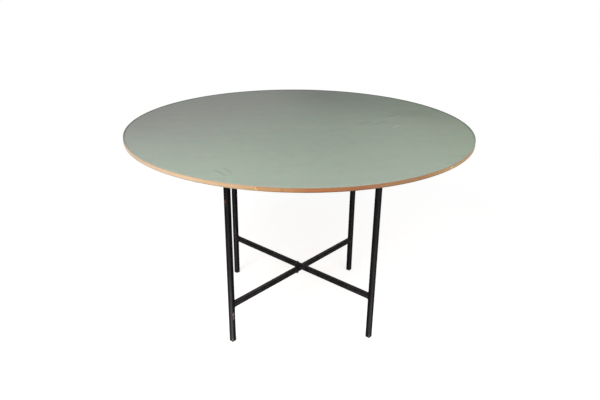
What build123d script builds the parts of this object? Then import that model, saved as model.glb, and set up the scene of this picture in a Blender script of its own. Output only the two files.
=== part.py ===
from build123d import *
import math
import os

# Round table: a loose linoleum-faced top on a folding cross trestle of square steel tube.
# Millimetres, +Z up, origin on the floor under the centre. The front is at -Y.

# Whole table
top_diameter = 1200.0
trestle_height = 712.0  # floor to the underside of the top
leg_reach = 349.0  # centre of the table to the centre of a leg
frame_turn = 45.0  # the lower frame stands this far one side of the X axis, the upper frame the other side
rest_gap = 0.3  # the upper frame's pads stay this far below the top, so that it turns freely

# Square tube, the same for legs, stretchers and rails
tube_width = 18.0
tube_wall = 1.5
tube_corner_radius = 3.0
floor_to_stretcher = 139.0  # floor to the underside of the lower stretcher
bar_gap = 2.0  # between the two bars of a crossing, filled by the spacer

# Fillet welds across a bar's ends
weld_leg = 3.0
weld_bulge_share = 0.62  # how far the weld's face swells, from the corner to the full leg

# Plastic inserts in the tube ends
foot_thickness = 4.0
pad_thickness = 3.0
insert_edge_bevel = 0.8
insert_stem_length = 14.0
insert_core_width = 12.0
insert_clearance = 0.05  # each side, between a rib and the tube's bore
insert_rib_thickness = 1.2
insert_rib_count = 3

# Pivot: bolt, bushes, spacer, washers and lock nut
bolt_radius = 3.0
bolt_beyond_nut = 2.0
bolt_head_height = 3.0
bolt_head_room = 6.0  # from the upper bolt's head to the underside of the top
across_flats = 10.0
crown_share = 0.95  # turned circle on the bolt head's face, as a share of the width across flats
crown_angle = 30.0
nut_height = 4.2
collar_height = 1.6
collar_radius = 4.3
washer_radius = 6.0
washer_thickness = 1.6
bush_radius = 4.5
spacer_radius = 7.0
running_clearance = 0.05  # radial, on the bolt

# Top
board_thickness = 13.0
linoleum_thickness = 2.0
linoleum_edge_bevel = 0.8
lipping_thickness = 3.0
lipping_edge_bevel = 1.0
scarf_run = 4.0  # how far each slanted joint of the lipping runs along the rim
front_scarf_angle = -104.6
back_scarf_angle = 100.4

# Blocks under the top, one outside each leg, and their screws
block_depth = 22.0
block_length = 60.0
block_height = 20.0
block_chamfer = 2.0
block_clearance = 1.4  # outside the circle that a leg's outer corner sweeps as the trestle folds
screw_radius = 1.75
screw_head_radius = 3.5
screw_head_height = 2.0
screw_cover = 5.0  # wood left above a screw's end
screw_clearance = 0.05

# Worked out from the sizes above
top_radius = top_diameter / 2
board_radius = top_radius - lipping_thickness
bar_length = 2 * leg_reach - tube_width
bore_width = tube_width - 2 * tube_wall
insert_corner_cut = tube_corner_radius * (2 - math.sqrt(2))  # flat that touches the tube's rounded corner
tube_bottom = foot_thickness
tube_top = trestle_height - pad_thickness
crossing_height = 2 * tube_width + bar_gap
rail_top = trestle_height - bolt_head_room - bolt_head_height - washer_thickness
floor_to_rail = rail_top - crossing_height
bush_bore = bolt_radius + running_clearance
leg_sweep_radius = math.hypot(leg_reach + tube_width / 2, tube_width / 2)
block_face = leg_sweep_radius + block_clearance
board_top = trestle_height + board_thickness

on_base = (Align.CENTER, Align.CENTER, Align.MIN)
lower_corners = {"front_left": frame_turn + 180, "back_right": frame_turn}
upper_corners = {"front_right": -frame_turn, "back_left": 180 - frame_turn}

parts = {}
bolts = []
nuts = []
washers = []
screws = []


def about_axis(*points):
    # Solid of revolution about Z, from points given as radius and height
    return revolve(make_face(Plane.XZ * Polyline(*points, close=True)), Axis.Z)


def group(shapes):
    # Separate solids kept together as one piece of the list
    return Compound([solid for shape in shapes for solid in shape.solids()])


def ring(outer_radius, inner_radius, bottom, height):
    disc = Cylinder(outer_radius, height, align=on_base) - Cylinder(inner_radius, height, align=on_base)
    return Pos(0, 0, bottom) * disc


# Square tube


def square_tube(length):
    # Stands on the origin along Z
    outside = RectangleRounded(tube_width, tube_width, tube_corner_radius)
    return extrude(outside - Rectangle(bore_width, bore_width), length)


def weld_bead():
    # Swelling fillet weld: its corner lies on the origin, between a bar's top (-X) and a leg's face (+Z)
    foot = (-weld_leg, 0)
    swell = (-weld_leg * weld_bulge_share, weld_leg * weld_bulge_share)
    head = (0, weld_leg)
    face = ThreePointArc(foot, swell, head)
    section = make_face(Plane.XZ * (face + Polyline(head, (0, 0), foot)))
    return extrude(section, tube_width / 2 - tube_corner_radius, both=True)


def cross_bar():
    # Bar along X between the two legs of a frame, centred on the origin, bored for its bush
    bar = Pos(-bar_length / 2, 0, 0) * Rot(0, 90, 0) * square_tube(bar_length)
    bar -= Cylinder(bush_radius, 2 * tube_width)
    right_bead = Pos(bar_length / 2, 0, tube_width / 2) * weld_bead()
    for bead in (right_bead, mirror(right_bead, about=Plane.YZ)):
        bar += bead
        bar += mirror(bead, about=Plane.XY)
    return bar


# Inserts in the tube ends


def tube_insert(flange_thickness):
    # The tube's end lies on the XY plane: the flange is below it, the ribbed stem goes up into the bore
    flange = extrude(Rectangle(tube_width, tube_width), -flange_thickness)
    flange = chamfer(flange.edges().filter_by(Axis.Z), insert_corner_cut)
    flange = chamfer(flange.edges().group_by(Axis.Z)[0], insert_edge_bevel)
    insert = flange + Box(insert_core_width, insert_core_width, insert_stem_length, align=on_base)
    rib_width = bore_width - 2 * insert_clearance
    rib = Box(rib_width, rib_width, insert_rib_thickness, align=on_base)
    rib_pitch = (insert_stem_length - insert_rib_thickness) / insert_rib_count
    for step in range(1, insert_rib_count + 1):
        insert += Pos(0, 0, step * rib_pitch) * rib
    return insert


# Pivot pieces, stacked on the underside of the lower bar of a crossing


def hexagon(height):
    return extrude(RegularPolygon(across_flats / 2, 6, major_radius=False), height)


def bolt_head():
    # Hexagon with the corners of its upper face turned off
    corner_radius = across_flats / 2 / math.cos(math.pi / 6)
    crown_radius = across_flats / 2 * crown_share
    crown_drop = (corner_radius - crown_radius) * math.tan(math.radians(crown_angle))
    turned = about_axis(
        (0, 0),
        (corner_radius, 0),
        (corner_radius, bolt_head_height - crown_drop),
        (crown_radius, bolt_head_height),
        (0, bolt_head_height),
    )
    return hexagon(bolt_head_height) & turned


def pivot_bolt(bar_underside):
    # Goes down through both bars, with its head on the upper washer
    head_seat = bar_underside + crossing_height + washer_thickness
    nut_bottom = bar_underside - washer_thickness - nut_height - collar_height
    end = nut_bottom - bolt_beyond_nut
    shank = Pos(0, 0, end) * Cylinder(bolt_radius, head_seat - end, align=on_base)
    return shank + Pos(0, 0, head_seat) * bolt_head()


def lock_nut(bar_underside):
    # Hexagon against the lower washer, with the round collar that grips the thread below it
    seat = bar_underside - washer_thickness
    body = Pos(0, 0, seat) * hexagon(-nut_height)
    nut_bottom = seat - nut_height - collar_height
    collar = Pos(0, 0, nut_bottom) * Cylinder(collar_radius, collar_height, align=on_base)
    bore = Pos(0, 0, nut_bottom) * Cylinder(bush_bore, 3 * (nut_height + collar_height))
    return body + collar - bore


def crossing(name, bar_underside):
    # The two bars of a crossing and everything on their bolt
    lower_bar = Pos(0, 0, bar_underside + tube_width / 2) * Rot(0, 0, frame_turn) * cross_bar()
    upper_underside = bar_underside + tube_width + bar_gap
    upper_bar = Pos(0, 0, upper_underside + tube_width / 2) * Rot(0, 0, -frame_turn) * cross_bar()
    parts[name + "_lower"] = lower_bar
    parts[name + "_upper"] = upper_bar
    parts[name + "_spacer"] = ring(spacer_radius, bush_bore, bar_underside + tube_width, bar_gap)
    parts[name + "_fixed_bush"] = ring(bush_radius, bush_bore, bar_underside, tube_width)
    parts[name + "_turning_bush"] = ring(bush_radius, bush_bore, upper_underside, tube_width)
    bolts.append(pivot_bolt(bar_underside))
    nuts.append(lock_nut(bar_underside))
    washers.append(ring(washer_radius, bush_bore, bar_underside + crossing_height, washer_thickness))
    washers.append(ring(washer_radius, bush_bore, bar_underside - washer_thickness, washer_thickness))


# Top


def lipping(start_angle, end_angle):
    # Strip of the rim from one slanted joint to the next, counter-clockwise from above
    middle_radius = top_radius - lipping_thickness / 2
    middle_height = trestle_height + board_thickness / 2
    section = Pos(middle_radius, middle_height) * Rectangle(lipping_thickness, board_thickness)
    lower_corner = section.vertices().sort_by(Axis.Y)[:2].sort_by(Axis.X)[-1]
    section = chamfer(lower_corner, lipping_edge_bevel)
    spare_angle = math.degrees(2 * scarf_run / top_radius)
    swept_angle = end_angle - start_angle + 2 * spare_angle
    strip = revolve(Rot(0, 0, start_angle - spare_angle) * (Plane.XZ * section), Axis.Z, swept_angle)
    slant = math.degrees(math.atan2(scarf_run, board_thickness))
    cutter = Box(4 * lipping_thickness, 4 * scarf_run, 4 * board_thickness)
    for angle, side in ((start_angle, -1), (end_angle, 1)):
        joint = Rot(0, 0, angle) * Pos(middle_radius, 0, middle_height) * Rot(slant, 0, 0)
        strip -= joint * Pos(0, side * 2 * scarf_run, 0) * cutter
    return strip


def block_screw(corner_angle, grow=0):
    # Its head lies against the block's underside and its shank goes up into the board
    shank_length = block_height + board_thickness - screw_cover
    head = Cylinder(screw_head_radius, screw_head_height, align=(Align.CENTER, Align.CENTER, Align.MAX))
    shank = Cylinder(screw_radius + grow, shank_length + grow, align=on_base)
    under_block = Pos(block_face + block_depth / 2, 0, trestle_height - block_height)
    return Rot(0, 0, corner_angle) * under_block * (head + shank)


def locating_block(corner_angle):
    block = Box(block_depth, block_length, block_height, align=(Align.MIN, Align.CENTER, Align.MAX))
    block = chamfer(block.edges().group_by(Axis.Z)[0], block_chamfer)
    block = Rot(0, 0, corner_angle) * Pos(block_face, 0, trestle_height) * block
    return block - block_screw(corner_angle, screw_clearance)


# Legs and their inserts
for corners, this_pad in ((lower_corners, pad_thickness), (upper_corners, pad_thickness - rest_gap)):
    for corner, angle in corners.items():
        at_corner = Rot(0, 0, angle) * Pos(leg_reach, 0, 0)
        parts["leg_" + corner] = at_corner * Pos(0, 0, tube_bottom) * square_tube(tube_top - tube_bottom)
        parts["foot_" + corner] = at_corner * Pos(0, 0, tube_bottom) * tube_insert(foot_thickness)
        parts["pad_" + corner] = at_corner * Pos(0, 0, tube_top) * Rot(180, 0, 0) * tube_insert(this_pad)

crossing("stretcher", floor_to_stretcher)
crossing("rail", floor_to_rail)
parts["pivot_bolts"] = group(bolts)
parts["pivot_nuts"] = group(nuts)
parts["pivot_washers"] = group(washers)

# Board with its screw holes, blocks, linoleum and lipping
board = Pos(0, 0, trestle_height) * Cylinder(board_radius, board_thickness, align=on_base)
for corner, angle in {**lower_corners, **upper_corners}.items():
    parts["locating_block_" + corner] = locating_block(angle)
    screws.append(block_screw(angle))
    board -= block_screw(angle, screw_clearance)
parts["top_board"] = board
parts["block_screws"] = group(screws)

linoleum = Pos(0, 0, board_top) * Cylinder(top_radius, linoleum_thickness, align=on_base)
parts["linoleum"] = chamfer(linoleum.edges().group_by(Axis.Z)[-1], linoleum_edge_bevel)
parts["lipping_left"] = lipping(back_scarf_angle, front_scarf_angle + 360)
parts["lipping_right"] = lipping(front_scarf_angle, back_scarf_angle)

os.makedirs("parts", exist_ok=True)
for name, shape in parts.items():
    export_step(shape, "parts/" + name + ".step")
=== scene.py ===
import bmesh
import bpy
import math
from mathutils import Matrix, Vector


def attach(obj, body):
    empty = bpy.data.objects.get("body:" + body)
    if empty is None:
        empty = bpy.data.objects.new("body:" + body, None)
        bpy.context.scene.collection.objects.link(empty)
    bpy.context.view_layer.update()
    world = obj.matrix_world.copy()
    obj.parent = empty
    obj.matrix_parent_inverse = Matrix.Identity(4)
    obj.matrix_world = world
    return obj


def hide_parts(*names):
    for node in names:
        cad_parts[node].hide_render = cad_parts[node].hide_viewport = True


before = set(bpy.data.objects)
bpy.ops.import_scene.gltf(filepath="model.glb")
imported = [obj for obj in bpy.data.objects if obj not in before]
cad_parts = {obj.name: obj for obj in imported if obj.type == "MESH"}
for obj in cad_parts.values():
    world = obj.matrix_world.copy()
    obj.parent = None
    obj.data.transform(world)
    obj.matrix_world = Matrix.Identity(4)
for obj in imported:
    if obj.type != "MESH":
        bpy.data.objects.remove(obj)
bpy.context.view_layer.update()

print("frame loaded")


def srgb(red, green, blue):  # a colour as the eye reads it, 0 to 255
    return tuple(((part / 255 + 0.055) / 1.055) ** 2.4 for part in (red, green, blue)) + (1.0,)


class Wire:  # one socket, so that a mask can be written as a sum
    def __init__(self, finish, socket):
        self.finish = finish
        self.socket = socket

    def calc(self, operation, *others):
        inputs = dict(enumerate((self, *others)))
        return self.finish.node("ShaderNodeMath", {"operation": operation}, inputs)

    def __add__(self, other):
        return self.calc("ADD", other)

    def __radd__(self, other):
        return self.calc("ADD", other)

    def __sub__(self, other):
        return self.calc("SUBTRACT", other)

    def __rsub__(self, other):
        return self.calc("MULTIPLY_ADD", -1.0, other)

    def __mul__(self, other):
        return self.calc("MULTIPLY", other)

    def __truediv__(self, other):
        return self.calc("DIVIDE", other)

    def __abs__(self):
        return self.calc("ABSOLUTE")

    def least(self, other):
        return self.calc("MINIMUM", other)

    def most(self, other):
        return self.calc("MAXIMUM", other)

    def fade(self, low, high):  # 0 below low, 1 above high, soft between
        return self.finish.node(
            "ShaderNodeMapRange", {"interpolation_type": "SMOOTHSTEP"}, {0: self, 1: low, 2: high}
        )


class Finish:  # one material under way
    def __init__(self, name):
        self.material = bpy.data.materials.new(name)
        self.material.use_nodes = True
        self.tree = self.material.node_tree
        self.tree.nodes.clear()
        self.place = self.node("ShaderNodeTexCoord", output="Object")
        self.x, self.y, self.z = (
            self.node("ShaderNodeSeparateXYZ", inputs={0: self.place}, output=axis) for axis in "XYZ"
        )

    def node(self, kind, settings=None, inputs=None, output=0):
        made = self.tree.nodes.new(kind)
        for name, value in (settings or {}).items():
            setattr(made, name, value)
        for name, value in (inputs or {}).items():
            if isinstance(value, Wire):
                self.tree.links.new(value.socket, made.inputs[name])
            else:
                made.inputs[name].default_value = value
        return Wire(self, made.outputs[output]) if made.outputs else None

    def vector(self, x, y, z):
        return self.node("ShaderNodeCombineXYZ", inputs={0: x, 1: y, 2: z})

    def noise(self, vector, scale, detail=2.0, roughness=0.5):
        inputs = {"Vector": vector, "Scale": scale, "Detail": detail, "Roughness": roughness}
        return self.node("ShaderNodeTexNoise", inputs=inputs)

    def streaks(self, x, y, z, detail=2.0, roughness=0.5):  # noise drawn out along the axes
        return self.noise(self.vector(x, y, z), 1.0, detail, roughness)

    def reach(self, vector):  # its length
        return self.node("ShaderNodeVectorMath", {"operation": "LENGTH"}, {0: vector}, "Value")

    def radius(self):  # distance from the table's axis
        return self.reach(self.vector(self.x, self.y, 0))

    def mix(self, share, first, second):  # of two colours
        return self.node("ShaderNodeMix", {"data_type": "RGBA"}, {0: share, 6: first, 7: second}, 2)

    def tone(self, colour, level):  # the colour made lighter or darker
        settings = {"data_type": "RGBA", "blend_type": "MULTIPLY"}
        grey = self.vector(level, level, level)
        return self.node("ShaderNodeMix", settings, {0: 1.0, 6: colour, 7: grey}, 2)

    def diagonals(self):  # distances along the table's two diagonals
        half = math.sqrt(0.5)
        return (self.x + self.y) * half, (self.y - self.x) * half

    def stroke(self, start, end, width):  # a soft straight mark on the top
        length = math.dist(start, end)
        run = ((end[0] - start[0]) / length, (end[1] - start[1]) / length)
        right, back = self.x - start[0], self.y - start[1]
        along = right * run[0] + back * run[1]
        across = abs(back * run[0] - right * run[1])
        ends = along.fade(0, length * 0.3) * (1 - along.fade(length * 0.7, length))
        return ends * (1 - across.fade(width * 0.2, width))

    def marks(self, strokes):  # the strongest of a list of strokes
        total = 0.0
        for start, end, width, strength in strokes:
            total = (self.stroke(start, end, width) * strength).most(total)
        return total

    def bump(self, height, distance):
        return self.node("ShaderNodeBump", inputs={"Height": height, "Distance": distance, "Strength": 1.0})

    def surface(self, colour, roughness, normal, **constants):
        inputs = {"Base Color": colour, "Roughness": roughness, "Normal": normal}
        inputs.update({name.replace("_", " "): value for name, value in constants.items()})
        shader = self.node("ShaderNodeBsdfPrincipled", inputs=inputs)
        self.node("ShaderNodeOutputMaterial", inputs={"Surface": shader})
        return self.material


# Working on a mesh by hand

closeTo = 0.0001  # metres, when edges are picked by their place
samePlace = 0.000002

def putDown():  # object mode, nothing selected
    if bpy.context.mode != "OBJECT":
        bpy.ops.object.mode_set(mode="OBJECT")
    bpy.ops.object.select_all(action="DESELECT")


def takeUp(piece):
    putDown()
    piece.select_set(True)
    bpy.context.view_layer.objects.active = piece


def edit(piece):
    takeUp(piece)
    bpy.ops.object.mode_set(mode="EDIT")
    bpy.ops.mesh.select_all(action="DESELECT")


def pick(piece, kind, wanted):  # selects the faces, edges or verts that answer
    bpy.ops.mesh.select_mode(type={"faces": "FACE", "edges": "EDGE", "verts": "VERT"}[kind])
    bpy.ops.mesh.select_all(action="DESELECT")
    shape = bmesh.from_edit_mesh(piece.data)
    for part in getattr(shape, kind):
        if wanted(part):
            part.select_set(True)
    bmesh.update_edit_mesh(piece.data)


def bothEnds(edge, wanted):
    return all(wanted(vert.co) for vert in edge.verts)


def camel(words):  # front_left becomes FrontLeft
    return "".join(word.capitalize() for word in words.split("_"))


def settle(piece):  # its place, turn and size go into its mesh
    takeUp(piece)
    bpy.ops.object.transform_apply(location=True, rotation=True, scale=True)


def copyOf(piece, place=(0, 0, 0), turn=0.0):
    takeUp(piece)
    bpy.ops.object.duplicate(linked=False)
    copy = bpy.context.object
    copy.location = place
    copy.rotation_euler = (0, 0, turn)
    settle(copy)
    return copy


def join(name, pieces):
    putDown()
    for piece in pieces:
        piece.select_set(True)
    bpy.context.view_layer.objects.active = pieces[0]
    bpy.ops.object.join()
    pieces[0].name = name
    return pieces[0]


def applied(piece, kind, **settings):
    takeUp(piece)
    modifier = piece.modifiers.new("work", kind)
    for name, value in settings.items():
        setattr(modifier, name, value)
    bpy.ops.object.modifier_apply(modifier=modifier.name)


def finishPiece(piece, name, body, material, replaced=(), angle=32):
    edit(piece)
    bpy.ops.mesh.select_all(action="SELECT")
    bpy.ops.mesh.remove_doubles(threshold=samePlace)
    bpy.ops.mesh.normals_make_consistent(inside=False)
    settle(piece)
    bpy.ops.object.shade_smooth_by_angle(angle=math.radians(angle))
    piece.name = name
    piece.data.materials.clear()
    piece.data.materials.append(material)
    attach(piece, body)
    if replaced:
        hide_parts(*replaced)
    return piece


# Camera, lamps, floor and white surroundings

view = {"place": (-0.1394, -1.9811, 1.2729), "right": 3.371, "down": 23.26, "roll": 0.423}
view.update({"lens": 34.669, "shiftX": 0.0135, "shiftY": 0.0089})

bpy.ops.object.camera_add()
camera = bpy.context.object
camera.matrix_world = (
    Matrix.Translation(view["place"])
    @ Matrix.Rotation(math.radians(-view["right"]), 4, "Z")
    @ Matrix.Rotation(math.radians(90 - view["down"]), 4, "X")
    @ Matrix.Rotation(math.radians(view["roll"]), 4, "Z")
)
camera.data.sensor_width = 36
camera.data.lens = view["lens"]
camera.data.shift_x = view["shiftX"]
camera.data.shift_y = view["shiftY"]
bpy.context.scene.camera = camera
bpy.context.scene.view_settings.view_transform = "Standard"

lamps = {
    "key": {"place": (-1.1, -1.4, 1.9), "aim": (0, 0, 0.7), "size": 1.1, "power": 29.0},
    "fill": {"place": (0.7, -1.2, 1.45), "aim": (0, 0, 0.6), "size": 1.1, "power": 10.5},
}
for name, lamp in lamps.items():
    bpy.ops.object.light_add(type="AREA", location=lamp["place"])
    light = bpy.context.object
    light.name = name
    light.data.size = lamp["size"]
    light.data.energy = lamp["power"]
    light.visible_camera = False  # a lamp never shows in a view from another side
    light.rotation_euler = (Vector(lamp["aim"]) - Vector(lamp["place"])).to_track_quat("-Z", "Y").to_euler()

surroundings = {"ambient": 0.33, "floorSize": 16.0, "floorLift": 0.67, "shadowEnds": (1.6, 4.0)}
surroundings.update({"floorDrop": 0.0004, "paper": (0.82, 0.82, 0.82, 1)})

world = bpy.data.worlds.new("studio")
world.use_nodes = True
bpy.context.scene.world = world
tree = world.node_tree
tree.nodes.clear()


def seenRays(tree):  # 1 for what the camera, a reflection or a clear piece sees
    path = tree.nodes.new("ShaderNodeLightPath")
    seen = path.outputs["Is Camera Ray"]
    for ray in ("Is Glossy Ray", "Is Transmission Ray"):
        either = tree.nodes.new("ShaderNodeMath")
        either.operation = "MAXIMUM"
        tree.links.new(seen, either.inputs[0])
        tree.links.new(path.outputs[ray], either.inputs[1])
        seen = either.outputs[0]
    return seen


ambient = tree.nodes.new("ShaderNodeBackground")
ambient.inputs["Strength"].default_value = surroundings["ambient"]
ambient.inputs["Color"].default_value = (1, 1, 1, 1)
white = tree.nodes.new("ShaderNodeBackground")
white.inputs["Color"].default_value = (1, 1, 1, 1)
choice = tree.nodes.new("ShaderNodeMixShader")
tree.links.new(seenRays(tree), choice.inputs[0])
tree.links.new(ambient.outputs[0], choice.inputs[1])
tree.links.new(white.outputs[0], choice.inputs[2])
tree.links.new(choice.outputs[0], tree.nodes.new("ShaderNodeOutputWorld").inputs["Surface"])

putDown()
bpy.ops.mesh.primitive_plane_add(
    size=surroundings["floorSize"], location=(0, 0, -surroundings["floorDrop"])
)
floor = bpy.context.object
floor.name = "floor"
settle(floor)
paper = Finish("whitePaper")
seen = Wire(paper, seenRays(paper.tree))
matt = paper.node("ShaderNodeBsdfDiffuse", inputs={"Color": surroundings["paper"]})
lift = paper.node("ShaderNodeEmission", inputs={"Strength": seen * surroundings["floorLift"]})
near = paper.node("ShaderNodeAddShader", inputs={0: matt, 1: lift})
glow = paper.node("ShaderNodeEmission", inputs={"Strength": 1.0})
far = paper.node("ShaderNodeMixShader", inputs={0: seen, 1: matt, 2: glow})
away = paper.reach(paper.place).fade(*surroundings["shadowEnds"])
both = paper.node("ShaderNodeMixShader", inputs={0: away, 1: near, 2: far})
paper.node("ShaderNodeOutputMaterial", inputs={"Surface": both})
floor.data.materials.append(paper.material)
print("camera and studio ready")


# Linoleum: one round sheet with a softened upper edge

sheet = {"radius": 0.6, "thickness": 0.002, "top": 0.727, "roundOver": 0.0008, "sides": 256}
sheet["rings"] = (0.004, 0.03)  # loops of faces just inside the edge
linoleumTones = {
    "sage": srgb(157, 170, 155),
    "backLeft": srgb(157, 161, 154),
    "right": srgb(154, 168, 147),
    "tint": srgb(163, 161, 155),
    "darkMark": srgb(98, 110, 98),
    "paleMark": srgb(206, 210, 202),
    "dirt": srgb(72, 80, 72),
}
darkMarks = (  # from, to, half the width, strength
    ((-0.272, -0.446), (-0.230, -0.514), 0.0065, 0.27),
    ((-0.252, -0.429), (-0.210, -0.490), 0.0065, 0.27),
    ((-0.238, -0.510), (-0.212, -0.484), 0.006, 0.14),
    ((0.208, 0.0), (0.270, 0.046), 0.012, 0.2),
    ((0.262, 0.0), (0.328, 0.048), 0.012, 0.2),
    ((0.330, 0.098), (0.410, 0.166), 0.010, 0.3),
    ((0.270, 0.198), (0.365, 0.214), 0.020, 0.12),
    ((0.340, 0.156), (0.540, 0.136), 0.065, 0.13),
    ((0.060, -0.090), (0.190, -0.030), 0.022, 0.07),
)
paleMarks = (
    ((0.322, -0.045), (0.364, -0.004), 0.0035, 0.6),
    ((0.285, 0.044), (0.408, 0.144), 0.004, 0.16),
    ((-0.266, -0.468), (-0.236, -0.516), 0.005, 0.16),
    ((-0.249, -0.442), (-0.236, -0.462), 0.005, 0.12),
    ((-0.408, -0.406), (-0.376, -0.383), 0.003, 0.18),
)


def linoleumFinish():
    mat = Finish("sageLinoleum")
    tones = linoleumTones
    wide = mat.noise(mat.place, 1.6, 3)
    # painted reflection: the colour turns greyer towards the back left, a grey sheen painted into the
    # linoleum
    paintedSheenDrift = (mat.x - mat.y + (wide - 0.5) * 0.3).fade(-0.6, 0.15)
    colour = mat.mix(paintedSheenDrift, tones["backLeft"], tones["sage"])
    colour = mat.mix(mat.x.fade(0.25, 0.6) * 0.6, colour, tones["right"])
    # wiped and worn from side to side
    wiped = mat.streaks(mat.x * 1.2, mat.y * 13, 0, 5, 0.6)
    smears = mat.streaks(mat.x * 4 + mat.y * 2, mat.y * 30 - mat.x * 5, 0, 4, 0.65)
    fine = mat.noise(mat.place, 700, 2)
    mottled = mat.streaks(mat.x * 30, mat.y * 18, 0, 4, 0.62)
    tinted = mat.streaks(mat.x * 21, mat.y * 13, 3.0, 3)
    flecks = mat.streaks(mat.x * 420, mat.y * 900, 0, 3, 0.7)
    level = 0.9 + wide * 0.07 + (wiped - 0.5) * 0.15 + (mottled - 0.5) * 0.11 + (fine - 0.5) * 0.05
    level = level + (flecks - 0.5) * 0.07
    level = level + (smears - 0.5) * (0.06 + mat.y.fade(-0.1, 0.45) * 0.08)
    # the top made darker or lighter region by region: painted light at the front left, painted shade at the
    # back right, darker patches elsewhere
    paintedLightShadeAndPatches = (
        (1 - abs(mat.x - 0.1 - mat.y * 0.15).fade(0.0, 0.36), 0.06),  # along the middle
        (mat.x.fade(-0.4, -0.58) * mat.y.fade(-0.25, 0.0), 0.06),  # at the far left
        ((mat.x * -0.6 - mat.y).fade(0.2, 0.65), -0.035),  # painted light at the front left
        ((mat.x * 0.55 + mat.y).fade(0.15, 0.6) * mat.x.fade(-0.12, 0.15), 0.105),  # painted shade at the back right
        (mat.y.fade(-0.04, 0.14) * mat.x.fade(-0.05, 0.15), 0.045),  # right of the middle
        ((1 - mat.y.fade(-0.54, -0.36)) * mat.x.fade(-0.1, 0.15), 0.03),  # front edge
    )
    for mask, share in paintedLightShadeAndPatches:
        level = level - mask * share
    colour = mat.mix(tinted.fade(0.42, 0.62) * 0.22, colour, tones["tint"])
    colour = mat.tone(colour, level)
    # rubs at the front left and a scratch at the right; the creases at the right drawn as pale lines with
    # painted shade beside them
    ragged = mat.noise(mat.place, 110, 3).fade(0.3, 0.6) * 0.5 + 0.5
    dark, pale = (mat.marks(strokes) * ragged for strokes in (darkMarks, paleMarks))
    colour = mat.mix(dark, colour, tones["darkMark"])
    colour = mat.mix(pale, colour, tones["paleMark"])
    # a darker line along the rim, most of it at the back
    uneven = (mottled - 0.5) * 0.006
    width = mat.y.most(0.0) * 0.02 + 0.0095
    inward = (sheet["radius"] - mat.radius() + uneven) / width
    strength = 0.76 + mat.x.fade(0.1, 0.4) * 0.15 + (wiped - 0.5) * 0.6
    rim = (1 - inward.fade(0.3, 1.0)) * mat.y.fade(-0.3, 0.0) * strength
    colour = mat.mix(rim, colour, tones["dirt"])
    rough = 0.6 + (wiped - 0.5) * 0.2 + (fine - 0.5) * 0.1 - pale * 0.1
    relief = fine * 0.2 + wide * 6 + smears * 0.4 - dark - pale
    return mat.surface(colour, rough, mat.bump(relief, 0.0002), Specular_IOR_Level=0.08)


def makeSheet():
    putDown()
    bpy.ops.mesh.primitive_cylinder_add(
        vertices=sheet["sides"],
        radius=sheet["radius"],
        depth=sheet["thickness"],
        location=(0, 0, sheet["top"] - sheet["thickness"] / 2),
    )
    piece = bpy.context.object
    settle(piece)
    edit(piece)
    pick(piece, "edges", lambda edge: bothEnds(edge, lambda co: co.z > sheet["top"] - closeTo))
    bpy.ops.mesh.bevel(offset=sheet["roundOver"], segments=4, affect="EDGES")
    pick(piece, "faces", lambda face: face.normal.z > 0.99)
    for ring in sheet["rings"]:
        bpy.ops.mesh.inset(thickness=ring)
    return finishPiece(piece, "linoleumSheet", "tabletop", linoleumFinish(), ["linoleum"])


makeSheet()
print("linoleum laid")


# Lipping: two strips round the rim, scarfed together at the front and the back

lipping = {"radius": 0.6, "thickness": 0.003, "bottom": 0.712, "height": 0.013, "scarfRun": 0.004}
lipping.update({"frontJoint": -104.6, "backJoint": 100.4, "arris": 0.0011, "stepAngle": 1.25})
lipping.update({"middle": lipping["bottom"] + lipping["height"] / 2, "samePlace": 0.00001})
lippingTones = {"pore": srgb(120, 76, 44), "lowerDarkLine": srgb(96, 56, 34)}
scarfLines = (  # width, colour
    ("frontJoint", 0.0019, (240, 208, 166)),
    ("backJoint", 0.0005, (70, 48, 32)),
)
rimSpots = (  # degrees, half the width, colour, share
    (-46.6, 0.012, (214, 190, 150), 0.6),  # a filled nick
    (-98.0, 0.006, (140, 90, 60), 0.25),  # a stain
)
lowerDarkStretch = ((-95, -91), (-76, -71))  # degrees, where the dark line comes and goes


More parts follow.
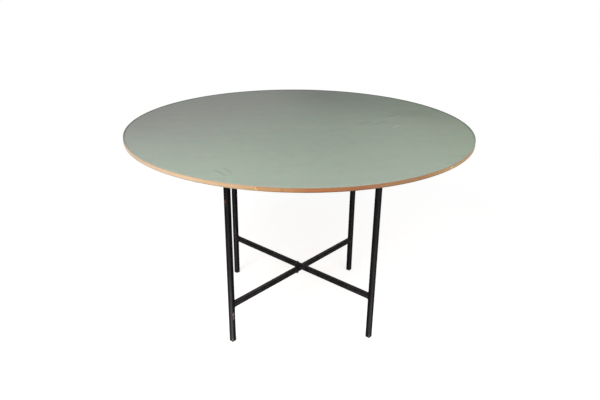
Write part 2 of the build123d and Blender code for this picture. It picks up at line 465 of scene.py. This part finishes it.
def lippingFinish(name, stages, stained, ahead):
    # ahead is 1 on the right strip and -1 on the left, so that the grain's break lies off the strip
    mat = Finish(name)
    angle = mat.node("ShaderNodeMath", {"operation": "ARCTAN2"}, {0: mat.y * ahead, 1: mat.x * ahead})
    run = angle * lipping["radius"]
    radius = mat.radius()
    grain = mat.streaks(run * 4, mat.z * 270, radius * 270, 5, 0.6)
    pores = mat.streaks(run * 40, mat.z * 2600, radius * 2600, 2, 0.5).fade(0.56, 0.72)
    patches = mat.streaks(run * 9, mat.z * 30, 0, 3)
    fibre = mat.streaks(run * 22, mat.z * 1400, radius * 1400, 3, 0.65)
    colour = srgb(*stages[0])
    for start, end, paint in stages[1:]:  # the wood's colour drifts along the strip
        colour = mat.mix(angle.fade(math.radians(start), math.radians(end)), colour, srgb(*paint))
    figure = mat.streaks(run * 75 + mat.z * 110, mat.z * 70, 0, 2)
    level = 0.7 + grain * 0.5 + (patches - 0.5) * 0.2 + (fibre - 0.5) * 0.16 + (figure - 0.5) * 0.24
    colour = mat.tone(colour, level)
    colour = mat.mix(pores * 0.28, colour, lippingTones["pore"])
    slope = lipping["scarfRun"] / lipping["height"]
    half = 0 if ahead > 0 else 180
    for joint, width, line in scarfLines:
        where = math.radians((lipping[joint] + half + 180) % 360 - 180)
        offset = abs(run - where * lipping["radius"] + (mat.z - lipping["middle"]) * slope)
        colour = mat.mix((1 - offset.fade(width * 0.5, width)) * 0.65, colour, srgb(*line))
    if ahead > 0:  # a dark line along the strip's lower edge over part of the front
        under = 1 - mat.z.fade(lipping["bottom"] + 0.0008, lipping["bottom"] + 0.0022)
        comes, goes = (angle.fade(*map(math.radians, ends)) for ends in lowerDarkStretch)
        colour = mat.mix(under * (comes * (1 - goes)) * 0.6, colour, lippingTones["lowerDarkLine"])
        for spot, width, paint, share in rimSpots:
            near = abs(run - math.radians(spot) * lipping["radius"])
            colour = mat.mix((1 - near.fade(width * 0.4, width)) * share, colour, srgb(*paint))
    # lower arris: smoother from handling, and darker, painted shade under the edge; upper edge stained by
    # adhesive
    arris = 1 - mat.z.fade(lipping["bottom"] + 0.001, lipping["bottom"] + 0.0038)
    colour = mat.mix(arris * (0.7 if ahead > 0 else 0.5), colour, mat.tone(colour, 0.5))
    top = lipping["bottom"] + lipping["height"]
    stain = mat.z.fade(top - 0.0045, top - 0.001) * patches.fade(0.25, 0.6)
    colour = mat.mix(stain * 0.7, colour, srgb(*stained))
    rough = 0.42 + grain * 0.16 - arris * 0.08
    relief = mat.bump(grain * 0.6 + fibre * 0.3 - pores * 0.5, 0.00012)
    return mat.surface(colour, rough, relief, Specular_IOR_Level=0.2)


def makeLipping(name, start, end, finish, node):
    putDown()
    bpy.ops.mesh.primitive_plane_add(
        size=1,
        location=(lipping["radius"] - lipping["thickness"] / 2, 0, lipping["middle"]),
        rotation=(math.pi / 2, 0, 0),
    )
    piece = bpy.context.object
    piece.scale = (lipping["thickness"], lipping["height"], 1)
    settle(piece)
    # slant the section for the scarf, then carry it round the rim
    lean = math.degrees(lipping["scarfRun"] / 2 / lipping["radius"])
    for vert in piece.data.vertices:
        side = -lean if vert.co.z > lipping["middle"] else lean
        vert.co = Matrix.Rotation(math.radians(start + side), 3, "Z") @ vert.co
    edit(piece)
    bpy.ops.mesh.select_all(action="SELECT")
    steps = round((end - start) / lipping["stepAngle"])
    bpy.ops.mesh.spin(steps=steps, angle=math.radians(end - start), center=(0, 0, 0), axis=(0, 0, -1))
    bpy.ops.mesh.select_all(action="SELECT")
    bpy.ops.mesh.remove_doubles(threshold=lipping["samePlace"])
    bpy.ops.mesh.fill_holes(sides=0)
    outer, low = lipping["radius"] - 2 * closeTo, lipping["bottom"] + closeTo
    pick(piece, "edges", lambda edge: bothEnds(edge, lambda co: co.z < low and co.xy.length > outer))
    bpy.ops.mesh.bevel(offset=lipping["arris"], segments=4, affect="EDGES")
    return finishPiece(piece, name, "tabletop", finish, [node])


# the wood's colour along each strip: from and to, in degrees, then the colour reached
leftStages = [(236, 205, 171), (52, 68, (217, 183, 145)), (68, 77, (204, 163, 121))]
rightStages = [
    (208, 161, 115),
    (-104, -89, (177, 116, 74)),
    (-85, -78, (158, 107, 73)),
    (-79, -70, (169, 127, 91)),
    (-62, -44, (201, 164, 117)),
    (-36, -16, (190, 148, 84)),
]
leftFinish = lippingFinish("paleLipping", leftStages, (214, 162, 124), -1)
rightFinish = lippingFinish("redLipping", rightStages, (178, 112, 80), 1)
front, back = lipping["frontJoint"], lipping["backJoint"]
makeLipping("lippingLeft", back, front + 360, leftFinish, "lipping_left")
makeLipping("lippingRight", front, back, rightFinish, "lipping_right")
print("lipping fitted")


# Board: its underside shows from below

boardTones = {"dark": srgb(171, 132, 90), "light": srgb(206, 172, 128), "fleck": srgb(122, 82, 50)}
boardTones.update({"joint": srgb(110, 78, 50), "stain": srgb(120, 92, 64)})

def boardFinish():
    mat = Finish("boardVeneer")
    waves = mat.streaks(mat.x * 1.4, mat.y * 6, 0, 2)
    grain = mat.streaks(mat.x * 3, mat.y * 90 + waves * 5, mat.z * 90, 5, 0.62)
    fibre = mat.streaks(mat.x * 14, mat.y * 620 + waves * 12, mat.z * 620, 4, 0.7)
    fleck = mat.streaks(mat.x * 55, mat.y * 1300 + waves * 20, mat.z * 1300, 2)
    fleck = fleck.fade(0.58, 0.64)
    leaf = (mat.y * 3.4 + 20.0).calc("FRACT")  # sheets of veneer, side by side
    joint = 1 - abs(leaf - 0.5).fade(0.0, 0.004)
    colour = mat.mix(grain.fade(0.3, 0.7), boardTones["dark"], boardTones["light"])
    colour = mat.tone(colour, 0.9 + waves * 0.2 + (fibre - 0.5) * 0.3)
    colour = mat.mix(fleck * 0.4, colour, boardTones["fleck"])
    colour = mat.mix(joint * 0.4, colour, boardTones["joint"])
    stain = mat.noise(mat.place, 5, 4).fade(0.55, 0.75)
    colour = mat.mix(stain * 0.22, colour, boardTones["stain"])
    relief = mat.bump(grain * 0.6 + fibre * 0.3 - fleck * 0.6 - joint, 0.0002)
    return mat.surface(colour, 0.62 + grain * 0.15, relief, Specular_IOR_Level=0.3)


def give(material, *nodes):  # a node keeps its shape and takes a better finish
    for node in nodes:
        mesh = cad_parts[node].data
        for index in range(len(mesh.materials)):
            mesh.materials[index] = material


give(boardFinish(), "top_board")
print("board finished")


# Locating blocks with their slotted screws, one outside each leg

block = {"inner": 0.35951, "depth": 0.022, "length": 0.06, "height": 0.02, "top": 0.712}
block.update({"lowerBevel": 0.002, "edge": 0.0006})
screw = {"radius": 0.0035, "height": 0.002, "dome": 0.0012, "slotWidth": 0.0009, "slotDepth": 0.0009}
corners = {"front_left": 225, "back_right": 45, "front_right": -45, "back_left": 135}
slotTurns = {"front_left": 20, "back_right": 75, "front_right": -35, "back_left": 5}
beechTones = {"dark": srgb(182, 134, 92), "light": srgb(210, 168, 124), "fleck": srgb(140, 92, 58)}
beechTones["dirt"] = srgb(112, 84, 60)
screwTones = {"steel": srgb(176, 170, 156), "rust": srgb(112, 74, 48)}


def beechFinish():
    mat = Finish("beech")
    a, b = mat.diagonals()
    lengthwise = abs(a).calc("GREATER_THAN", abs(b))
    along = b * lengthwise + a * (1 - lengthwise)
    across = a * lengthwise + b * (1 - lengthwise)
    grain = mat.streaks(along * 14, across * 260, mat.z * 260, 4, 0.6)
    fibre = mat.streaks(along * 30, across * 1500, mat.z * 1500, 3, 0.7)
    flecks = mat.streaks(along * 220, across * 1600, mat.z * 1600, 1).fade(0.6, 0.66)
    colour = mat.mix(grain.fade(0.3, 0.7), beechTones["dark"], beechTones["light"])
    colour = mat.tone(colour, 1.0 + (fibre - 0.5) * 0.25)
    colour = mat.mix(flecks * 0.5, colour, beechTones["fleck"])
    dirt = mat.noise(mat.place, 35, 5, 0.7).fade(0.5, 0.8)
    colour = mat.mix(dirt * 0.25, colour, beechTones["dirt"])
    return mat.surface(colour, 0.55 + grain * 0.15, mat.bump(grain, 0.00015), Specular_IOR_Level=0.3)


def screwFinish():
    mat = Finish("screwSteel")
    dull = mat.noise(mat.place, 900, 3)
    rust = mat.noise(mat.place, 400, 3).fade(0.55, 0.7)
    colour = mat.mix(rust * 0.6, mat.tone(screwTones["steel"], 0.8 + dull * 0.3), screwTones["rust"])
    return mat.surface(colour, 0.36 + dull * 0.25 + rust * 0.2, mat.bump(dull, 0.00005), Metallic=0.9)


def makeBlock(finish):
    putDown()
    bpy.ops.mesh.primitive_cube_add(
        size=1,
        location=(block["inner"] + block["depth"] / 2, 0, block["top"] - block["height"] / 2),
    )
    piece = bpy.context.object
    piece.scale = (block["depth"], block["length"], block["height"])
    settle(piece)
    edit(piece)
    low = block["top"] - block["height"] + closeTo
    pick(piece, "edges", lambda edge: bothEnds(edge, lambda co: co.z < low))
    bpy.ops.mesh.bevel(offset=block["lowerBevel"], segments=1, affect="EDGES")
    pick(piece, "edges", lambda edge: not bothEnds(edge, lambda co: co.z > block["top"] - closeTo))
    bpy.ops.mesh.bevel(offset=block["edge"], segments=2, affect="EDGES")
    putDown()
    return piece


def makeScrewHead():
    underside = block["top"] - block["height"]
    centre = (block["inner"] + block["depth"] / 2, 0, underside - screw["height"] / 2)
    putDown()
    bpy.ops.mesh.primitive_cylinder_add(
        vertices=40, radius=screw["radius"], depth=screw["height"], location=centre
    )
    piece = bpy.context.object
    settle(piece)
    edit(piece)
    low = underside - screw["height"] + closeTo
    pick(piece, "edges", lambda edge: bothEnds(edge, lambda co: co.z < low))
    bpy.ops.mesh.bevel(offset=screw["dome"], segments=4, affect="EDGES")
    putDown()
    return piece, centre


def cutSlot(head, centre, turn):
    low = centre[2] - screw["height"] / 2
    putDown()
    bpy.ops.mesh.primitive_cube_add(
        size=1, location=(centre[0], 0, low), rotation=(0, 0, math.radians(turn))
    )
    cutter = bpy.context.object
    cutter.scale = (screw["radius"] * 3, screw["slotWidth"], screw["slotDepth"] * 2)
    settle(cutter)
    applied(head, "BOOLEAN", operation="DIFFERENCE", object=cutter, solver="EXACT")
    bpy.data.objects.remove(cutter)


beech, screwSteel = beechFinish(), screwFinish()
firstBlock = makeBlock(beech)
firstHead, headCentre = makeScrewHead()
for corner, angle in corners.items():
    name = camel(corner)
    copy = copyOf(firstBlock, turn=math.radians(angle))
    finishPiece(copy, "block" + name, "tabletop", beech, ["locating_block_" + corner])
    slotted = copyOf(firstHead)
    cutSlot(slotted, headCentre, slotTurns[corner])
    turned = copyOf(slotted, turn=math.radians(angle))
    bpy.data.objects.remove(slotted)
    finishPiece(turned, "screwHead" + name, "tabletop", screwSteel, ["block_screws"])
bpy.data.objects.remove(firstBlock)
bpy.data.objects.remove(firstHead)
print("blocks and screws fixed")


# Trestle: square tube in worn black paint

tube = {"legReach": 0.349, "legPlace": 0.2468, "half": 0.009, "barCentres": (0.148, 0.168, 0.6724, 0.6924)}
paintTones = {
    "black": srgb(24, 23, 25),
    "bar": srgb(38, 37, 39),
    "leg": srgb(34, 33, 35),
    "shade": srgb(6, 6, 7),
    "dust": srgb(82, 80, 84),
    "wearAndHighlight": srgb(110, 107, 110),
    "rubbed": srgb(84, 78, 77),
    "primer": srgb(104, 84, 80),
    "bare": srgb(104, 100, 97),
    "scratch": srgb(104, 100, 100),
}
wear = {  # where, how far, colour, share
    "redChip": ((-0.2537, -0.2522, 0.545), 0.007, (150, 78, 60), 0.8),
    "redFleck": ((-0.2522, -0.2537, 0.534), 0.004, (120, 62, 56), 0.6),
    "pinkScuff": ((-0.2418, -0.2535, 0.114), 0.0075, (170, 150, 150), 0.8),
    "pinkScuffLow": ((-0.2411, -0.2530, 0.098), 0.0065, (160, 140, 140), 0.7),
    "paleTip": ((-0.2468, -0.2590, 0.010), 0.006, (150, 128, 104), 0.6),
    "paleTipRight": ((0.2468, -0.2590, 0.010), 0.005, (130, 112, 92), 0.5),
    "leftWeld": ((-0.2411, 0.2411, 0.166), 0.018, (84, 52, 56), 0.7),
    "rightWeld": ((0.2411, -0.2411, 0.172), 0.014, (84, 58, 58), 0.6),
}


def paintFinish(name, isBar):
    mat = Finish(name)
    a, b = mat.diagonals()
    tones = paintTones
    wide = mat.noise(mat.place, 9, 3)
    patch = mat.noise(mat.place, 45, 4, 0.6)
    small = mat.noise(mat.place, 240, 3, 0.6)
    fine = mat.noise(mat.place, 900, 2)
    if isBar:
        rise = over = 1.0  # to the nearest bar's middle and to its upper face
        for centre in tube["barCentres"]:
            rise = abs(mat.z - centre).least(rise)
            over = abs(mat.z - centre - tube["half"]).least(over)
        corner = abs(a).least(abs(b)).least(rise)
        runs = mat.streaks(a * 9 + b * 9, a * 160 - b * 160, mat.z * 420, 3)
        low = 0.5
        # lighter along each bar's upper face: painted light from above, with wear
        wearAndHighlight = (1 - over.fade(0.0002, 0.0012)) * (0.2 - mat.z.fade(0.155, 0.165) * 0.12)
        dark = corner.fade(0.005, 0.0086)
    else:
        fromA, fromB = (abs(abs(way) - tube["legReach"]).least(abs(way)) for way in (a, b))
        corner = fromA.least(fromB)
        runs = mat.streaks(mat.x * 420, mat.y * 420, mat.z * 9, 3)
        # both of a frame's legs have the same marks: paler along the front corner, wear with a painted
        # highlight; darker at the sides, painted shade that is strongest on the right face
        aside, behind = (
            way.calc("WRAP", 0.0, -2 * tube["legPlace"]) + tube["legPlace"] for way in (mat.x, mat.y)
        )
        # lower on the legs and towards the front left: dust, partly painted light
        low = (1 - mat.z.fade(0.06, 0.36)) * (0.7 - mat.x * 1.2) * (0.6 - mat.y * 1.6)
        wearAndHighlight = (1 - behind.fade(-0.0118, -0.0065)) * (0.12 + low * 0.4)
        scraped = mat.z.fade(0.1, 0.15) * (1 - mat.z.fade(0.2, 0.235)) * mat.x.fade(0.1, -0.1)
        scraped = scraped * runs.fade(0.3, 0.6)
        wearAndHighlight = wearAndHighlight.most((1 - behind.fade(-0.0115, -0.0088)) * scraped * 0.7)
        dark = abs(aside).fade(0.0055, 0.0105).most(aside.fade(0.0, 0.0065) * 0.85)
    edge = corner.fade(0.0068, 0.0082)
    colour = mat.mix(wide.fade(0.35, 0.7), tones["black"], tones["bar" if isBar else "leg"])
    # dust and dulling, most of it low on the legs; strongest at the front left, where it is partly painted
    # light
    dull = (patch * 0.5 + runs * 0.3 + low * 0.3 + (small - 0.5) * 0.16).fade(0.4, 0.92)
    colour = mat.mix(dull * (0.95 if isBar else 0.55), colour, tones["dust"])
    # wear with a painted highlight on the leg corners, painted light on the bar tops
    colour = mat.mix(wearAndHighlight, colour, tones["wearAndHighlight"])
    # painted shade: darker along the tubes' outer arrises and on the legs' right faces
    colour = mat.mix(dark * 0.85, colour, tones["shade"])
    # paint rubbed thin on the arrises, a few chips
    rubbed = edge * (patch + (small - 0.5) * 0.4).fade(0.56, 0.72)
    colour = mat.mix(rubbed * 0.2, colour, tones["rubbed"])
    chips = small * 0.62 + patch * 0.38
    primer, bare = chips.fade(0.70, 0.72), chips.fade(0.735, 0.75)
    colour = mat.mix(primer * 0.5, colour, tones["primer"])
    colour = mat.mix(bare * 0.6, colour, tones["bare"])
    # fine scratches that run with the tube
    scratches = mat.streaks(mat.x * 700, mat.y * 700, mat.z * 34, 2)
    scratched = (runs * 0.3 + scratches * 0.7).fade(0.6, 0.63)
    colour = mat.mix(scratched * (0.14 if isBar else 0.22), colour, tones["scratch"])
    ragged = (mat.noise(mat.place, 420, 5, 0.7) - 0.5) * 1.7
    for point, size, paint, share in wear.values():
        away = mat.vector(mat.x - point[0], mat.y - point[1], (mat.z - point[2]) * 0.6)
        blot = 1 - (mat.reach(away) / size + ragged).fade(0.35, 0.75)
        colour = mat.mix(blot * share, colour, srgb(*paint))
    rough = 0.42 + dull * 0.2 + primer * 0.2 + (fine - 0.5) * 0.1
    relief = mat.bump(fine * 0.25 + small * 0.2 + patch * 0.5 - primer * 0.8, 0.00012)
    return mat.surface(colour, rough, relief, Specular_IOR_Level=0.02)


legPaint, barPaint = paintFinish("blackPaintLegs", False), paintFinish("blackPaintBars", True)
give(legPaint, *("leg_" + corner for corner in corners))
give(barPaint, "stretcher_lower", "stretcher_upper", "rail_lower", "rail_upper")
print("tube painted")


# Weld beads where the bars meet the legs: fillets above and below, low seams on the sides

bead = {"barHalf": 0.009, "legFace": 0.340, "pitch": 0.0013, "coins": 11, "coinRadius": 0.0022}
bead.update({"coinThickness": 0.42, "lean": 18, "sink": 0.0008, "jitter": 0.00012, "seed": 7})
bead.update({"seamSink": 0.0002, "seamInset": 0.0003, "seamDepth": 0.9, "seamHeight": 0.4})


def coinRow(centre, scale, lean, step):  # overlapping coins of weld, each leaning on the last
    putDown()
    bpy.ops.mesh.primitive_uv_sphere_add(
        segments=10, ring_count=6, radius=bead["coinRadius"], location=centre
    )
    coin = bpy.context.object
    coin.scale = scale
    coin.rotation_euler = lean
    settle(coin)
    applied(
        coin,
        "ARRAY",
        count=bead["coins"],
        use_relative_offset=False,
        use_constant_offset=True,
        constant_offset_displace=step,
    )
    return coin


def makeBead():
    half, pitch = bead["barHalf"], bead["pitch"]
    reach = pitch * (bead["coins"] - 1) / 2
    thin, lean = bead["coinThickness"], math.radians(bead["lean"])
    rows = []
    for side in (1, -1):
        fillet = (-bead["sink"], -reach, side * (half + bead["sink"]))
        rows.append(coinRow(fillet, (1, thin, 1), (lean, 0, 0), (0, pitch, 0)))
        seam = (-bead["seamSink"], side * (half - bead["seamInset"]), -reach)
        shape = (bead["seamDepth"], bead["seamHeight"], thin)
        rows.append(coinRow(seam, shape, (0, lean, 0), (0, 0, pitch)))
    whole = join("bead", rows)
    edit(whole)
    bpy.ops.mesh.select_all(action="SELECT")
    bpy.ops.transform.vertex_random(offset=bead["jitter"], seed=bead["seed"])
    putDown()
    return whole


weldTones = {"dark": srgb(28, 27, 27), "brown": srgb(62, 54, 52), "rust": srgb(104, 66, 52)}


def weldFinish():
    mat = Finish("paintedWeld")
    patch = mat.noise(mat.place, 120, 3)
    fine = mat.noise(mat.place, 900, 2)
    colour = mat.mix(patch.fade(0.4, 0.7), weldTones["dark"], weldTones["brown"])
    rusty = mat.noise(mat.place, 300, 3).fade(0.58, 0.7)
    colour = mat.mix(rusty * 0.6, colour, weldTones["rust"])
    relief = mat.bump(fine * 0.5 + patch, 0.0001)
    return mat.surface(colour, 0.45 + fine * 0.2, relief, Specular_IOR_Level=0.15)


weldPaint = weldFinish()
firstBead = makeBead()
for corner, angle in corners.items():
    isLower = corner in ("front_left", "back_right")
    body = "lower_frame" if isLower else "upper_frame"
    turn = math.radians(angle)
    for bar, height in zip(("stretcher", "rail"), tube["barCentres"][0 if isLower else 1 :: 2]):
        place = (math.cos(turn) * bead["legFace"], math.sin(turn) * bead["legFace"], height)
        name = bar + "Weld" + camel(corner)
        finishPiece(copyOf(firstBead, place, turn), name, body, weldPaint, angle=60)
bpy.data.objects.remove(firstBead)
print("welds run")


# Plastic inserts in the tube ends

plasticTones = {"dark": srgb(22, 22, 23), "light": srgb(34, 33, 33), "scuff": srgb(96, 90, 84)}

def plasticFinish():
    mat = Finish("blackPlastic")
    patch = mat.noise(mat.place, 160, 3)
    fine = mat.noise(mat.place, 1100, 2)
    scuffed = (1 - mat.z.fade(0.0, 0.003)) * patch.fade(0.4, 0.6)
    colour = mat.mix(patch, plasticTones["dark"], plasticTones["light"])
    colour = mat.mix(scuffed * 0.6, colour, plasticTones["scuff"])
    rough = 0.46 + fine * 0.14 + scuffed * 0.2
    return mat.surface(colour, rough, mat.bump(fine + patch * 2, 0.00005), Specular_IOR_Level=0.3)


plastic = plasticFinish()
give(plastic, *(part + corner for part in ("foot_", "pad_") for corner in corners))
print("inserts finished")


# Pivots: hexagon bolts, washers, spacers, bushes and lock nuts

pivot = {"acrossFlats": 0.01, "crownShare": 0.95, "crownAngle": 30, "headSeat": 0.1786, "headHeight": 0.003}
pivot.update({"shankRadius": 0.003, "nutSeat": 0.1374, "nutHeight": 0.0042, "collarHeight": 0.0016})
pivot.update({"collarRadius": 0.0043, "boltEnd": 0.1296, "threadPitch": 0.001, "threadDepth": 0.86})
pivot.update({"endShare": 0.8, "collarRound": 0.0005, "ringInset": (0.0003, 0.0001), "ringDepth": 0.0002})
railLift = 0.5244  # from the stretchers' pivot to the rails'
steelTones = {"steel": srgb(112, 108, 102), "rust": srgb(88, 56, 40), "paint": srgb(30, 29, 30)}


def steelFinish(name, painted):
    mat = Finish(name)
    patch = mat.noise(mat.place, 260, 3)
    fine = mat.noise(mat.place, 1500, 2)
    steel = mat.tone(steelTones["steel"], 0.75 + patch * 0.5)
    rust = mat.noise(mat.place, 420, 4).fade(0.54, 0.7)
    steel = mat.mix(rust * 0.6, steel, steelTones["rust"])
    cover = patch.fade(0.66 - painted * 0.4, 0.72 - painted * 0.4)
    colour = mat.mix(cover, steel, steelTones["paint"])
    rough = 0.38 + fine * 0.2 + rust * 0.25
    relief = mat.bump(fine * 0.4 + patch * 0.5, 0.00006)
    metal = (1 - cover) * (1 - rust * 0.7)
    return mat.surface(colour, rough, relief, Metallic=metal, Specular_IOR_Level=0.3)


def hexagonBar(height, centre):  # corners on the X axis, as they are turned at rest
    putDown()
    radius = pivot["acrossFlats"] / 2 / math.cos(math.pi / 6)
    bpy.ops.mesh.primitive_cylinder_add(
        vertices=6, radius=radius, depth=height, location=(0, 0, centre), rotation=(0, 0, math.pi / 6)
    )
    piece = bpy.context.object
    settle(piece)
    return piece


def turnCorners(piece, height, centre, up):  # the corners of one end taken down on the lathe
    crown = pivot["acrossFlats"] / 2 * pivot["crownShare"]
    flare = crown + height / math.tan(math.radians(pivot["crownAngle"]))
    putDown()
    bpy.ops.mesh.primitive_cone_add(
        vertices=64,
        radius1=flare if up else crown,
        radius2=crown if up else flare,
        depth=height,
        location=(0, 0, centre),
    )
    cutter = bpy.context.object
    settle(cutter)
    applied(piece, "BOOLEAN", operation="INTERSECT", object=cutter, solver="EXACT")
    bpy.data.objects.remove(cutter)


def makeBolt():
    seat, height = pivot["headSeat"], pivot["headHeight"]
    head = hexagonBar(height, seat + height / 2)
    turnCorners(head, height, seat + height / 2, True)
    putDown()
    threadTop = pivot["nutSeat"] - pivot["nutHeight"]
    bpy.ops.mesh.primitive_cylinder_add(
        vertices=32,
        radius=pivot["shankRadius"],
        depth=seat - threadTop,
        location=(0, 0, (seat + threadTop) / 2),
    )
    shank = bpy.context.object
    settle(shank)
    edit(shank)
    pick(shank, "faces", lambda face: face.normal.z < -0.9)
    level, half = threadTop, pivot["threadPitch"] / 2
    while level - half > pivot["boltEnd"] + closeTo:  # one turned thread after another
        for size in (pivot["threadDepth"], 1 / pivot["threadDepth"]):
            if level - half < pivot["boltEnd"] + closeTo:
                break
            bpy.ops.mesh.extrude_region_move(TRANSFORM_OT_translate={"value": (0, 0, -half)})
            bpy.ops.transform.resize(value=(size, size, 1), center_override=(0, 0, level))
            level -= half
    bpy.ops.mesh.extrude_region_move(TRANSFORM_OT_translate={"value": (0, 0, pivot["boltEnd"] - level)})
    end = pivot["endShare"]
    bpy.ops.transform.resize(value=(end, end, 1), center_override=(0, 0, level))
    return join("bolt", [head, shank])


def makeNut():
    seat, height, collar = pivot["nutSeat"], pivot["nutHeight"], pivot["collarHeight"]
    body = hexagonBar(height, seat - height / 2)
    turnCorners(body, height, seat - height / 2, True)
    turnCorners(body, height, seat - height / 2, False)
    bottom = seat - height - collar
    putDown()
    bpy.ops.mesh.primitive_cylinder_add(
        vertices=40, radius=pivot["collarRadius"], depth=collar, location=(0, 0, bottom + collar / 2)
    )
    ring = bpy.context.object
    settle(ring)
    edit(ring)
    pick(ring, "edges", lambda edge: bothEnds(edge, lambda co: co.z < bottom + closeTo))
    bpy.ops.mesh.bevel(offset=pivot["collarRound"], segments=3, affect="EDGES")
    pick(ring, "faces", lambda face: face.normal.z < -0.99)
    outerStep, innerStep = pivot["ringInset"]
    bpy.ops.mesh.inset(thickness=outerStep, depth=0)
    bpy.ops.mesh.inset(thickness=innerStep, depth=-pivot["ringDepth"])  # the nylon ring sits inside
    return join("nut", [body, ring])


darkSteel = steelFinish("darkSteel", 1.0)
plainSteel = steelFinish("plainSteel", 0.6)
for make, name, node in ((makeBolt, "Bolt", "pivot_bolts"), (makeNut, "Nut", "pivot_nuts")):
    first = make()
    for bar, lift in (("stretcher", 0), ("rail", railLift)):
        copy = copyOf(first, (0, 0, lift))
        finishPiece(copy, bar + name, "lower_frame", darkSteel, [node])
    bpy.data.objects.remove(first)
give(plainSteel, "pivot_washers")
for bar in ("stretcher", "rail"):
    give(plainSteel, bar + "_spacer", bar + "_fixed_bush", bar + "_turning_bush")
print("pivots fitted")

putDown()
